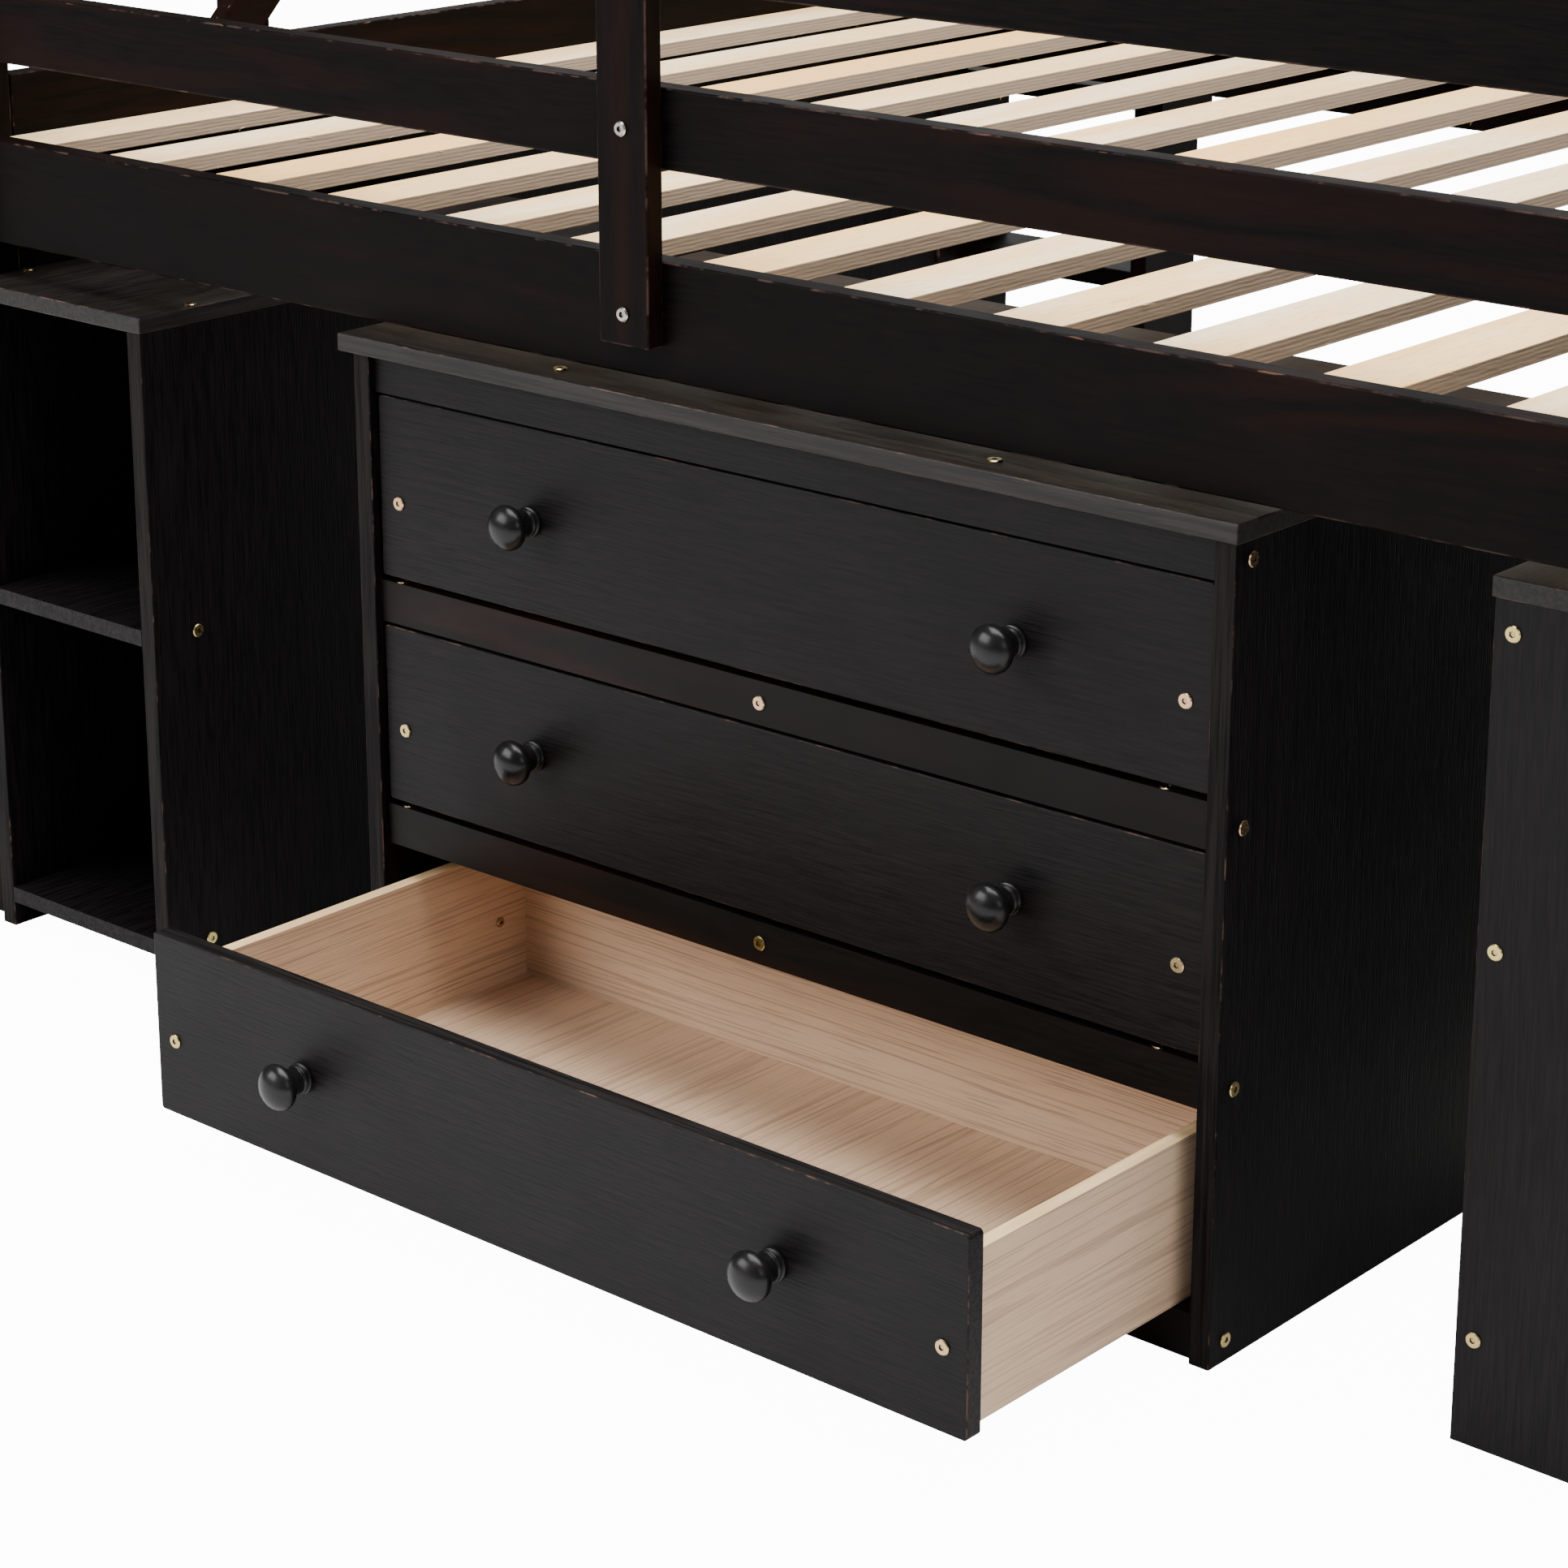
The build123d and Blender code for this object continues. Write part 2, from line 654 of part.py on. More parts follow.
with BuildPart() as bookcase_shelves:
    for z in (middle_shelf_z, floor_shelf_z):
        board(book_inner_x, book_y, z)
    drill(book_side_screws, side_screw)
save(bookcase_shelves, "bookcase_shelves")

with BuildPart() as bookcase_divider:
    board(book_inner_x, divider_y, (floor_shelf_z[1], middle_shelf_z[0]))
    board(book_inner_x, divider_y, (middle_shelf_z[1], book_side_z[1]))
save(bookcase_divider, "bookcase_divider")

with BuildPart() as bookcase_screws:
    place_fasteners(book_side_screws, side_screw)
    place_fasteners(book_top_screws, top_screw)
save(bookcase_screws, "bookcase_screws")

# ================================================================ desk
desk_y = span(behind(desk_front), desk_depth)
desk_end_z = (0, desk_height - board_thickness)
desk_end_y = (span(desk_y[0], board_thickness), span(desk_y[1] - board_thickness, board_thickness))
desk_inner_y = (desk_end_y[0][1], desk_end_y[1][0])
desk_back_x = span(desk_x[0] + desk_back_inset, board_thickness)
desk_apron_x = span(desk_x[1] - desk_back_inset - board_thickness, board_thickness)
desk_screws = []
for x, heights in ((middle(desk_back_x), desk_screw_z), (middle(desk_apron_x), desk_screw_z[-1:])):
    for z in heights:
        desk_screws.append(driven(x, desk_y[0], z, FRONT))
        desk_screws.append(driven(x, desk_y[1], z, BACK))

with BuildPart() as desk_top:
    board((desk_x[0] - desk_top_overhang, desk_x[1]), (desk_y[0] - desk_top_overhang, desk_y[1]),
          (desk_end_z[1], desk_height))
    fillet(desk_top.edges(), board_arris)
save(desk_top, "desk_top")

with BuildPart() as desk_ends:
    for end_y in desk_end_y:
        board(desk_x, end_y, desk_end_z)
    fillet(desk_ends.edges().filter_by(Axis.Z), board_arris)
    drill(desk_screws, side_screw)
save(desk_ends, "desk_ends")

with BuildPart() as desk_back:
    board(desk_back_x, desk_inner_y, (desk_back_foot, desk_end_z[1]))
    drill(desk_screws, side_screw)
save(desk_back, "desk_back")

with BuildPart() as desk_apron:
    board(desk_apron_x, desk_inner_y, (desk_end_z[1] - desk_apron_height, desk_end_z[1]))
    drill(desk_screws, side_screw)
save(desk_apron, "desk_apron")

with BuildPart() as desk_fixings:
    place_fasteners(desk_screws, side_screw)
save(desk_fixings, "desk_screws")

print("front side rail face at Y =", rail_face, " deck from", front_rail_y[1], "to", back_rail_y[0])
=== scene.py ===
import math

import bpy
import numpy as np
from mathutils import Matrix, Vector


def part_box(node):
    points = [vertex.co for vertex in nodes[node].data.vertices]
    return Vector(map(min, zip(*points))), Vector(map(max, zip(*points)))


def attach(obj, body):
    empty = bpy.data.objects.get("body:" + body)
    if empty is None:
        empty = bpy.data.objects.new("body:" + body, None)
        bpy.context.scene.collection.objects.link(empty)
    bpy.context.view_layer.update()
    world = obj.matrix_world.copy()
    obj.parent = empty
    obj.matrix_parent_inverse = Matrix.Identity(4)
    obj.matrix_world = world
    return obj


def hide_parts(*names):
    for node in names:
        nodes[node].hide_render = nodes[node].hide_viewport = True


# Low loft bed with a bookcase, a chest of three drawers and a desk under its slatted deck.
# The boards keep their shapes from the frame and get their finishes here: dark stained pine,
# charcoal laminated board, oak-grained drawer boxes, birch plywood slats, lacquer and zinc.
# Lengths are in metres.

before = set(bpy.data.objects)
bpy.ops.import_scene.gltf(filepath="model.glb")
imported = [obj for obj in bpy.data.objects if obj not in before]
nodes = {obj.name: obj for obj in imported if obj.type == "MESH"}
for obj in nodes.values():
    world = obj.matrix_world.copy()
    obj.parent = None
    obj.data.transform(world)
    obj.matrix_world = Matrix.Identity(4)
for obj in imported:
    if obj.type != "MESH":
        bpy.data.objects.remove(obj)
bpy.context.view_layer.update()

# ---------------------------------------------------------------- colours
STAIN_DARK = (0.0014, 0.0010, 0.0010, 1)
STAIN_BODY = (0.0040, 0.0027, 0.0024, 1)
STAIN_RED = (0.0130, 0.0040, 0.0022, 1)
STAIN_RUBBED = (0.0600, 0.0350, 0.0290, 1)
STAIN_CHIP = (0.1000, 0.0480, 0.0300, 1)
STAIN_PORE = (0.0016, 0.0012, 0.0012, 1)
BOARD_DARK = (0.0022, 0.0020, 0.0020, 1)
BOARD_BODY = (0.0086, 0.0067, 0.0071, 1)
# Lighter, browner charcoal for the chest, bookcase and desk tops: painted sheen that stands in for a soft
# warm reflection on the tops
BOARD_TOP_SHEEN = (0.0190, 0.0140, 0.0112, 1)
BOARD_EDGE_DARK = (0.0040, 0.0036, 0.0038, 1)
BOARD_EDGE_LIGHT = (0.0170, 0.0140, 0.0135, 1)
BOARD_RUBBED = (0.1100, 0.0560, 0.0400, 1)
OAK_LIGHT = (0.7500, 0.5350, 0.3650, 1)
OAK_BODY = (0.6400, 0.4350, 0.2850, 1)
OAK_DASH = (0.2000, 0.1050, 0.0620, 1)
PINE_LIGHT = (0.8800, 0.6300, 0.3400, 1)
PINE_DARK = (0.6600, 0.4100, 0.2000, 1)
BIRCH_PALE = (0.9400, 0.7300, 0.4500, 1)
BIRCH_GOLD = (0.9200, 0.5400, 0.1900, 1)
BIRCH_FIBRE = (0.5600, 0.3200, 0.1400, 1)
BIRCH_KNOT = (0.2300, 0.1050, 0.0500, 1)
PLY_LIGHT = (0.4600, 0.3350, 0.2250, 1)
PLY_DARK = (0.3500, 0.2500, 0.1700, 1)
# Painted shade for the screws' driver sockets
SOCKET_SHADE = (0.0300, 0.0240, 0.0180, 1)
LACQUER = (0.0040, 0.0040, 0.0045, 1)
LACQUER_WORN = (0.0200, 0.0150, 0.0130, 1)
BRASS_ZINC = (0.5400, 0.4400, 0.1700, 1)
BRASS_ZINC_PINK = (0.5600, 0.3700, 0.2200, 1)
GREY_ZINC = (0.5600, 0.5300, 0.4800, 1)
GREY_ZINC_DARK = (0.3200, 0.2900, 0.2500, 1)
WHITE = (1, 1, 1, 1)
FLOOR_PAINT = (0.9, 0.9, 0.9, 1)

# A grain axis is turned onto the pattern's own X, which the wood runs along
TURN = {"X": (0, 0, 0), "Y": (0, 0, -math.pi / 2), "Z": (0, math.pi / 2, 0)}
AXIS = {"X": (1, 0, 0), "Y": (0, 1, 0), "Z": (0, 0, 1)}

# So little wear that the noise on an arris never reaches it
UNWORN = -1.0

# What noise averages to, as a colour
NOISE_MIDDLE = (0.5, 0.5, 0.5)


class Wiring:
    """Adds shader nodes to one tree. An input is given either a plain value or another node's output."""

    def __init__(self, tree):
        self.tree = tree

    def add(self, kind, inputs=None, **settings):
        node = self.tree.nodes.new("ShaderNode" + kind)
        for name, value in settings.items():
            setattr(node, name, value)
        for key, value in (inputs or {}).items():
            self.feed(node.inputs[key], value)
        return node

    def feed(self, socket, value):
        if isinstance(value, bpy.types.NodeSocket):
            self.tree.links.new(value, socket)
        else:
            socket.default_value = value

    def number(self, operation, first, second=0.0, third=0.0):
        """One number from up to three, by a Math node."""
        return self.add("Math", {0: first, 1: second, 2: third}, operation=operation).outputs[0]

    def vector(self, operation, first, second=(0, 0, 0)):
        """One vector from two, by a Vector Math node, or the number that a dot product gives."""
        node = self.add("VectorMath", {0: first, 1: second}, operation=operation)
        return node.outputs["Value" if operation == "DOT_PRODUCT" else "Vector"]

    def scaled(self, value, amount, start=0.0):
        """The start, plus a value times an amount."""
        return self.number("MULTIPLY_ADD", value, amount, start)

    def parts(self, vector):
        """The X, Y and Z of a vector."""
        return self.add("SeparateXYZ", {0: vector}).outputs

    def step(self, value, low, high):
        """A smooth step: nothing below low, and one above high."""
        node = self.add("MapRange", {0: value, 1: low, 2: high}, interpolation_type="SMOOTHSTEP")
        return node.outputs[0]

    def fade(self, value, low, high):
        """A smooth step down: one below low, and nothing above high."""
        node = self.add("MapRange", {0: value, 1: low, 2: high, 3: 1.0, 4: 0.0},
                        interpolation_type="SMOOTHSTEP")
        return node.outputs[0]

    def noise(self, place, scale, detail, roughness=0.5):
        """Cloudy noise around one half, or its colour where three of them are wanted."""
        return self.add("TexNoise", {"Vector": place, "Scale": scale, "Detail": detail,
                                     "Roughness": roughness})

    def blend(self, factor, first, second):
        """A colour part of the way from the first to the second."""
        node = self.add("Mix", data_type="RGBA")
        self.feed(node.inputs["Factor"], factor)
        self.feed(node.inputs[6], first)
        self.feed(node.inputs[7], second)
        return node.outputs[2]

    def cover(self, base, colour, mask, amount):
        """The base colour with another laid over it where a mask is high, no further than the amount."""
        return self.blend(self.number("MULTIPLY", mask, amount), base, colour)

    def group(self, tree, **inputs):
        """A node group placed with its own values. An underscore in a name stands for a space."""
        node = self.add("Group", node_tree=tree)
        for name, value in inputs.items():
            self.feed(node.inputs[name.replace("_", " ")], value)
        return node.outputs


def shader_group(name, inputs, outputs):
    """An empty node group with named sockets, with its wiring, its inputs and its outputs to be fed."""
    tree = bpy.data.node_groups.new(name, "ShaderNodeTree")
    for label, kind, value in inputs:
        socket = tree.interface.new_socket(label, in_out="INPUT", socket_type="NodeSocket" + kind)
        if value is not None:
            socket.default_value = value
    for label in outputs:
        tree.interface.new_socket(label, in_out="OUTPUT", socket_type="NodeSocketFloat")
    entry = tree.nodes.new("NodeGroupInput")
    leave = tree.nodes.new("NodeGroupOutput")
    return tree, Wiring(tree), entry.outputs, leave.inputs


# ---------------------------------------------------------------- effects that several finishes share
def make_wood_grain():
    """Wood figure on a place whose X runs along the grain. The place is swayed by soft noise and shrunk
    along the grain, so that noise on it is drawn out. Rings fold a wide noise to and fro, fibres and pores
    are fine noise, and blotches are a wide noise of their own."""
    blotch_scale = 6.0
    sway_scale = 3.1
    blotch_shrink = (0.3, 1.0, 1.0)
    pore_fineness = 1.7
    pore_shift = (3.7, 1.9, 5.3)
    tree, w, given, out = shader_group(
        "wood_grain",
        [("Place", "Vector", None), ("Figure Scale", "Float", 9.0), ("Fibre Scale", "Float", 260.0),
         ("Stretch", "Float", 16.0), ("Sway", "Float", 0.012), ("Rings", "Float", 7.0)],
        ["Rings", "Fibre", "Pores", "Blotch"],
    )
    wander = w.noise(given["Place"], sway_scale, detail=2.0).outputs["Color"]
    wander = w.vector("SUBTRACT", wander, NOISE_MIDDLE)
    sway = w.add("VectorMath", {0: wander, "Scale": given["Sway"]}, operation="SCALE").outputs[0]
    bent = w.vector("ADD", given["Place"], sway)
    shrink = w.add("CombineXYZ", {0: w.number("DIVIDE", 1.0, given["Stretch"]), 1: 1.0, 2: 1.0}).outputs[0]
    drawn = w.vector("MULTIPLY", bent, shrink)
    figure = w.noise(drawn, given["Figure Scale"], detail=1.5, roughness=0.45).outputs[0]
    rings = w.number("PINGPONG", w.number("MULTIPLY", figure, given["Rings"]), 0.5)
    w.feed(out["Rings"], w.step(rings, low=0.02, high=0.48))
    fibre = w.noise(drawn, given["Fibre Scale"], detail=3.0, roughness=0.65).outputs[0]
    w.feed(out["Fibre"], w.step(fibre, low=0.3, high=0.7))
    pore_scale = w.number("MULTIPLY", given["Fibre Scale"], pore_fineness)
    pores = w.noise(w.vector("ADD", drawn, pore_shift), pore_scale, detail=1.0).outputs[0]
    w.feed(out["Pores"], w.step(pores, low=0.56, high=0.68))
    blotch = w.noise(w.vector("MULTIPLY", bent, blotch_shrink), blotch_scale, detail=3.0, roughness=0.6)
    w.feed(out["Blotch"], w.step(blotch.outputs[0], low=0.38, high=0.66))
    return tree


def make_worn_arris():
    """Wear on the rounded arrises of boards that stand square. A point is on an arris where its normal
    lines up with no axis, which is where the largest of the normal's three parts falls below one. Two sizes
    of noise break the wear up into rubbed stretches and chips. Edge Face is one where the surface faces
    across the board's thickness, as the edges of a sheet do."""
    rub_scale = 38.0
    rub_softness = 0.16
    chip_scale = 130.0
    chip_softness = 0.04
    chip_shrink = (0.25, 1.0, 1.0)
    tree, w, given, out = shader_group(
        "worn_arris",
        [("Place", "Vector", None), ("Thickness Axis", "Vector", (0, 0, 1)), ("Wear", "Float", 0.5),
         ("Chips", "Float", 0.5)],
        ["Rubbed", "Chipped", "Edge Face"],
    )
    facing = w.add("NewGeometry").outputs["True Normal"]
    part = w.parts(w.vector("ABSOLUTE", facing))
    largest = w.number("MAXIMUM", part[0], w.number("MAXIMUM", part[1], part[2]))
    arris = w.fade(largest, low=0.90, high=0.992)
    uneven = w.noise(given["Place"], rub_scale, detail=3.0, roughness=0.7).outputs[0]
    start = w.scaled(given["Wear"], amount=-0.6, start=0.78)
    rubbed = w.step(uneven, start, w.number("ADD", start, rub_softness))
    w.feed(out["Rubbed"], w.number("MULTIPLY", arris, rubbed))
    drawn = w.vector("MULTIPLY", given["Place"], chip_shrink)
    crumbs = w.noise(drawn, chip_scale, detail=2.0, roughness=0.6).outputs[0]
    start = w.scaled(given["Chips"], amount=-0.4, start=0.86)
    chipped = w.step(crumbs, start, w.number("ADD", start, chip_softness))
    w.feed(out["Chipped"], w.number("MULTIPLY", arris, chipped))
    along = w.number("ABSOLUTE", w.vector("DOT_PRODUCT", facing, given["Thickness Axis"]))
    w.feed(out["Edge Face"], w.fade(along, low=0.3, high=0.8))
    return tree


def make_handling_marks():
    """Dust and light handling marks: soft cloudy patches, and a few fine scratches that run at a slant,
    which are noise squeezed across the slant."""
    slant = (0.35, 0.9, 0.6)
    squeeze = (1.0, 24.0, 24.0)
    tree, w, given, out = shader_group(
        "handling_marks",
        [("Place", "Vector", None), ("Patch Scale", "Float", 7.0), ("Scratch Scale", "Float", 30.0)],
        ["Patches", "Scratches"],
    )
    patches = w.noise(given["Place"], given["Patch Scale"], detail=4.0, roughness=0.6).outputs[0]
    w.feed(out["Patches"], w.step(patches, low=0.35, high=0.75))
    slanted = w.add("Mapping", {0: given["Place"], 2: slant, 3: squeeze}).outputs[0]
    scratches = w.noise(slanted, given["Scratch Scale"], detail=1.0, roughness=0.4).outputs[0]
    w.feed(out["Scratches"], w.step(scratches, low=0.74, high=0.80))
    return tree


WOOD_GRAIN = make_wood_grain()
WORN_ARRIS = make_worn_arris()
HANDLING_MARKS = make_handling_marks()


# ---------------------------------------------------------------- finishes
def blank_finish(name):
    """A material that holds only its shader, with its wiring and that shader."""
    finish = bpy.data.materials.new(name)
    finish.use_nodes = True
    return finish, Wiring(finish.node_tree), finish.node_tree.nodes["Principled BSDF"]


def object_place(w):
    """The place on the piece, in the frame's own axes."""
    return w.add("TexCoord").outputs["Object"]


def grained_finish(name, grain, offset=(0, 0, 0)):
    """A blank finish, and the place on the piece turned so that the grain runs along X."""
    finish, w, shader = blank_finish(name)
    place = w.add("Mapping", {0: object_place(w), 1: offset, 2: TURN[grain]}).outputs[0]
    return finish, w, shader, place


def height_facing(w):
    """The Z part of the surface's normal: one on top, nothing on a side and minus one below."""
    return w.parts(w.add("NewGeometry").outputs["True Normal"])[2]


def bump(w, shader, height, strength, distance):
    """Feeds the shader's normal from a height mask that stands for the given distance."""
    node = w.add("Bump", {"Height": height, "Strength": strength, "Distance": distance})
    w.feed(shader.inputs["Normal"], node.outputs[0])


def stained_pine(name, grain, wear=0.5, red=0.55, gloss=0.05, offset=(0, 0, 0)):
    """Near-black espresso stain on pine: reddish growth rings show in blotches, and the arrises are rubbed
    brown."""
    finish, w, shader, place = grained_finish(name, grain, offset)
    wood = w.group(WOOD_GRAIN, Place=place, Figure_Scale=11.0, Fibre_Scale=330.0, Stretch=14.0, Sway=0.02,
                   Rings=9.0)
    edge = w.group(WORN_ARRIS, Place=place, Wear=wear, Chips=0.5)
    marks = w.group(HANDLING_MARKS, Place=place)
    base = w.blend(wood["Fibre"], STAIN_DARK, STAIN_BODY)
    base = w.cover(base, STAIN_RED, w.number("MULTIPLY", wood["Blotch"], wood["Rings"]), amount=red)
    base = w.cover(base, STAIN_PORE, wood["Pores"], amount=0.35)
    base = w.cover(base, STAIN_RUBBED, edge["Rubbed"], amount=0.75)
    base = w.cover(base, STAIN_CHIP, edge["Chipped"], amount=0.9)
    w.feed(shader.inputs["Base Color"], base)
    shader.inputs["Specular IOR Level"].default_value = gloss
    rough = w.scaled(wood["Fibre"], amount=0.10, start=0.42)
    rough = w.scaled(marks["Patches"], amount=0.10, start=rough)
    rough = w.scaled(edge["Rubbed"], amount=0.25, start=rough)
    w.feed(shader.inputs["Roughness"], rough)
    height = w.scaled(wood["Rings"], amount=0.8, start=w.scaled(wood["Fibre"], amount=0.4))
    bump(w, shader, height, strength=0.12, distance=0.0003)
    return finish


def charcoal_board(name, grain, thickness, gloss=0.12, body=BOARD_BODY):
    """Satin charcoal laminate with a fine grain, streaky board edges and thin rubbed arrises."""
    streak_shrink = (0.03, 1.0, 1.0)
    streak_scale = 240.0
    finish, w, shader, place = grained_finish(name, grain)
    wood = w.group(WOOD_GRAIN, Place=place, Figure_Scale=16.0, Fibre_Scale=420.0, Stretch=22.0, Sway=0.008,
                   Rings=5.0)
    edge = w.group(WORN_ARRIS, Place=place, Thickness_Axis=AXIS[thickness], Wear=0.45, Chips=0.35)
    marks = w.group(HANDLING_MARKS, Place=place)
    # body is the board's own tone, except on the tops, where it is a lighter brown that is painted sheen
    base = w.blend(wood["Fibre"], BOARD_DARK, body)
    base = w.cover(base, BOARD_DARK, wood["Blotch"], amount=0.25)
    base = w.cover(base, BOARD_DARK, wood["Pores"], amount=0.35)
    streak = w.noise(w.vector("MULTIPLY", place, streak_shrink), streak_scale, detail=2.0, roughness=0.7)
    streak = w.step(streak.outputs[0], low=0.40, high=0.62)
    streaks = w.blend(streak, BOARD_EDGE_DARK, BOARD_EDGE_LIGHT)
    base = w.cover(base, streaks, edge["Edge Face"], amount=0.6)
    base = w.cover(base, BOARD_RUBBED, edge["Rubbed"], amount=0.7)
    base = w.cover(base, STAIN_CHIP, edge["Chipped"], amount=0.6)
    w.feed(shader.inputs["Base Color"], base)
    shader.inputs["Specular IOR Level"].default_value = gloss
    rough = w.scaled(wood["Fibre"], amount=0.08, start=0.40)
    rough = w.scaled(marks["Patches"], amount=0.07, start=rough)
    rough = w.scaled(marks["Scratches"], amount=-0.06, start=rough)
    w.feed(shader.inputs["Roughness"], rough)
    bump(w, shader, w.number("SUBTRACT", wood["Fibre"], wood["Pores"]), strength=0.35, distance=0.0003)
    return finish


def drawer_box_board(name, grain, raw_top):
    """Pinkish oak laminate: soft bands, thin dark growth lines broken up by the fibres, and dark dashes in
    the pores. Upward faces are raw pine as far as raw_top says: 1 on an upright board, 0 on a bottom."""
    finish, w, shader, place = grained_finish(name, grain)
    wood = w.group(WOOD_GRAIN, Place=place, Figure_Scale=30.0, Fibre_Scale=620.0, Stretch=75.0, Sway=0.003,
                   Rings=16.0)
    base = w.cover(OAK_BODY, OAK_LIGHT, wood["Blotch"], amount=0.6)
    base = w.cover(base, OAK_LIGHT, wood["Fibre"], amount=0.4)
    line = w.fade(wood["Rings"], low=0.0, high=0.25)
    broken = w.number("MULTIPLY", line, w.scaled(wood["Fibre"], amount=-0.7, start=0.9))
    dash = w.number("MULTIPLY", wood["Pores"], w.scaled(wood["Blotch"], amount=0.2, start=0.3))
    base = w.blend(w.number("MAXIMUM", dash, w.scaled(broken, amount=0.6)), base, OAK_DASH)
    raw = w.group(WOOD_GRAIN, Place=place, Figure_Scale=22.0, Fibre_Scale=200.0, Stretch=14.0, Sway=0.004,
                  Rings=10.0)
    pine = w.cover(PINE_LIGHT, PINE_DARK, raw["Rings"], amount=0.6)
    base = w.cover(base, pine, w.step(height_facing(w), low=0.6, high=0.9), amount=raw_top)
    w.feed(shader.inputs["Base Color"], base)
    w.feed(shader.inputs["Roughness"], w.scaled(wood["Fibre"], amount=0.12, start=0.46))
    bump(w, shader, w.number("SUBTRACT", wood["Fibre"], wood["Pores"]), strength=0.3, distance=0.0003)
    return finish


def raw_pine(name, grain):
    """Unfinished pine batten with soft yellow rings."""
    finish, w, shader, place = grained_finish(name, grain)
    wood = w.group(WOOD_GRAIN, Place=place, Figure_Scale=18.0, Fibre_Scale=220.0, Stretch=15.0, Sway=0.01,
                   Rings=9.0)
    base = w.cover(PINE_LIGHT, PINE_DARK, wood["Rings"], amount=0.7)
    base = w.cover(base, OAK_DASH, wood["Pores"], amount=0.25)
    w.feed(shader.inputs["Base Color"], base)
    w.feed(shader.inputs["Roughness"], w.scaled(wood["Fibre"], amount=0.15, start=0.6))
    bump(w, shader, wood["Fibre"], strength=0.4, distance=0.0004)
    return finish


def birch_slats(name, first_x, pitch, low_z, thickness):
    """Plywood slats: each has its own tint from pale cream to gold, flowing veneer figure, small knots,
    and grey-brown layers along its sides. A slat's number is how many pitches its place is from the first,
    and its veneer is taken from a place shifted by a random length along the grain and by its number
    upwards."""
    veneer_reach = 9.0
    knot_scale = 5.5
    layer_turns = 4.5
    layer_ripple = 0.12
    ripple_scale = 60.0
    finish, w, shader, place = grained_finish(name, "Y")
    spot = w.parts(object_place(w))
    number = w.number("FLOOR", w.number("DIVIDE", w.number("SUBTRACT", spot[0], first_x), pitch))
    own = w.add("TexWhiteNoise", {"W": number}, noise_dimensions="1D").outputs["Value"]
    shift = w.add("CombineXYZ", {0: w.scaled(own, amount=veneer_reach), 1: 0.0, 2: number}).outputs[0]
    veneer = w.vector("ADD", place, shift)
    wood = w.group(WOOD_GRAIN, Place=veneer, Figure_Scale=7.0, Fibre_Scale=240.0, Stretch=9.0, Sway=0.03,
                   Rings=6.0)
    gold = w.number("ADD", own, w.scaled(wood["Blotch"], amount=0.3, start=-0.15))
    base = w.blend(w.step(gold, low=0.45, high=0.95), BIRCH_PALE, BIRCH_GOLD)
    base = w.cover(base, BIRCH_GOLD, wood["Rings"], amount=0.55)
    base = w.cover(base, BIRCH_FIBRE, wood["Pores"], amount=0.35)
    cells = w.add("TexVoronoi", {"Vector": veneer, "Scale": knot_scale})
    base = w.cover(base, BIRCH_KNOT, w.fade(cells.outputs["Distance"], low=0.016, high=0.034), amount=0.8)
    layer = w.number("DIVIDE", w.number("SUBTRACT", spot[2], low_z), thickness)
    layer = w.scaled(w.noise(place, ripple_scale, detail=2.0).outputs[0], amount=layer_ripple, start=layer)
    layer = w.number("PINGPONG", w.scaled(layer, amount=layer_turns), 0.5)
    layers = w.blend(w.step(layer, low=0.16, high=0.34), PLY_DARK, PLY_LIGHT)
    layers = w.cover(layers, PLY_LIGHT, wood["Fibre"], amount=0.45)
    side = w.fade(w.number("ABSOLUTE", height_facing(w)), low=0.3, high=0.7)
    w.feed(shader.inputs["Base Color"], w.blend(side, base, layers))
    w.feed(shader.inputs["Roughness"], w.scaled(wood["Fibre"], amount=0.14, start=0.55))
    height = w.number("MULTIPLY_ADD", side, layer, wood["Fibre"])
    bump(w, shader, height, strength=0.4, distance=0.0005)
    return finish


def black_lacquer(name):
    """Glossy black lacquer on turned wood, a little thin and brown in places."""
    finish, w, shader, place = grained_finish(name, "Y")
    marks = w.group(HANDLING_MARKS, Place=place, Patch_Scale=60.0, Scratch_Scale=60.0)
    wood = w.group(WOOD_GRAIN, Place=place, Figure_Scale=60.0, Fibre_Scale=500.0, Stretch=9.0)
    w.feed(shader.inputs["Base Color"], w.cover(LACQUER, LACQUER_WORN, marks["Patches"], amount=0.3))
    w.feed(shader.inputs["Roughness"], w.scaled(marks["Patches"], amount=0.12, start=0.26))
    w.feed(shader.inputs["Coat Weight"], w.scaled(marks["Patches"], amount=-0.05, start=0.12))
    shader.inputs["Coat Roughness"].default_value = 0.2
    shader.inputs["Specular IOR Level"].default_value = 0.2
    bump(w, shader, wood["Fibre"], strength=0.12, distance=0.0002)
    return finish


